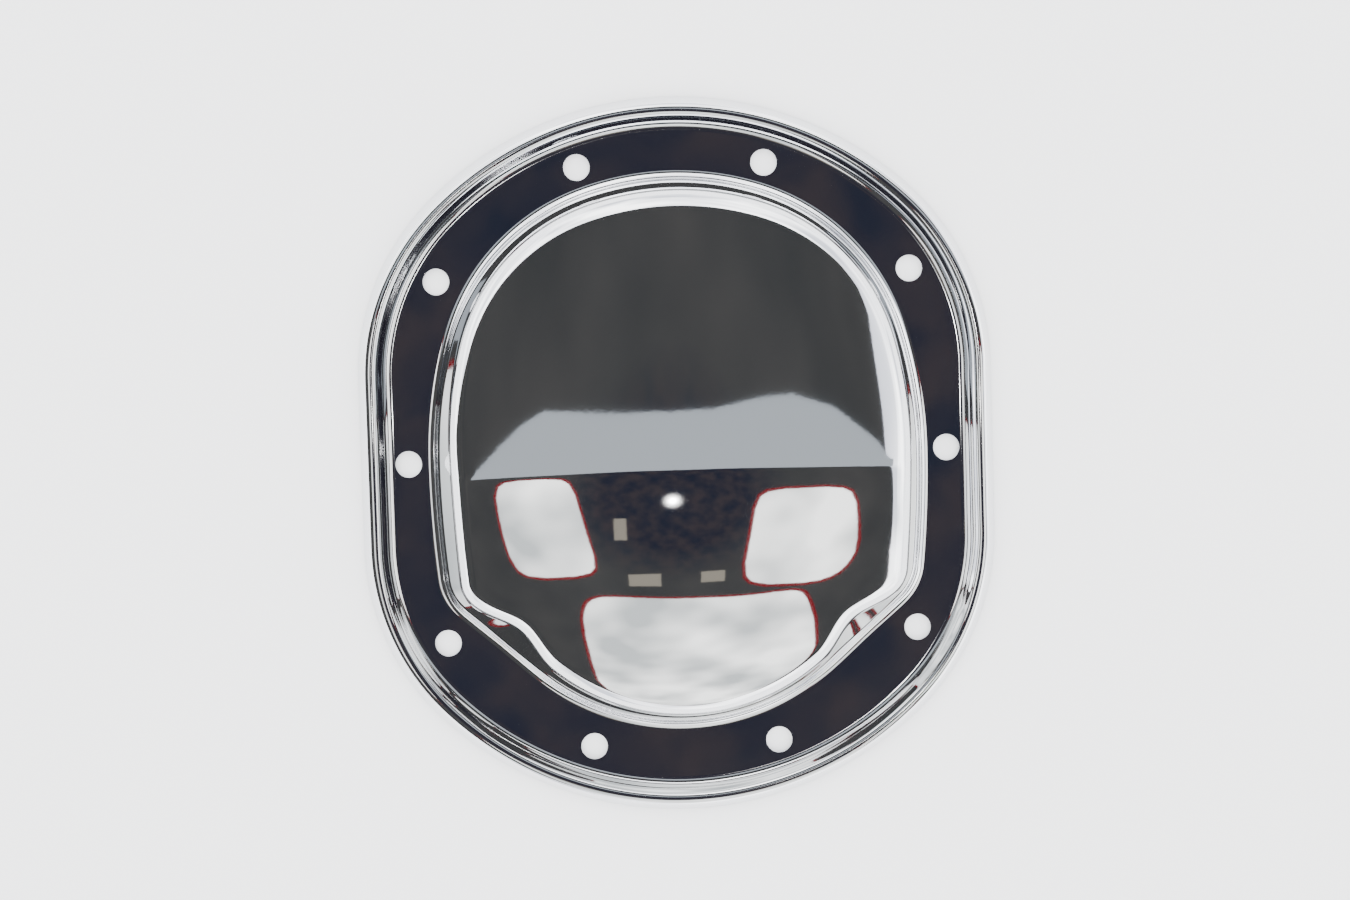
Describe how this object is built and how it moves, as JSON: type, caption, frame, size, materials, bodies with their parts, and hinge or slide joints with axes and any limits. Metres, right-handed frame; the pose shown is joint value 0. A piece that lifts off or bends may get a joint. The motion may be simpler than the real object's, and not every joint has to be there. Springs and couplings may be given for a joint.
{
  "type": "differential cover",
  "caption": "Pressed steel rear cover for an axle's differential housing, with a bulged dome, a flat bolting flange, a rolled rim and a bright chrome finish.",
  "frame": {"origin": "centre of the bolt pattern, in the plane of the gasket face", "axes": "+Z out of the housing, the way the dome bulges; +Y to the top of the fitted cover; +X to the right as seen from behind the axle"},
  "size_m": [0.232, 0.262, 0.046],
  "materials": {
    "chrome_plate": "polished"
  },
  "bodies": {
    "root": {"cover": "chrome_plate"}
  },
  "joints": []
}
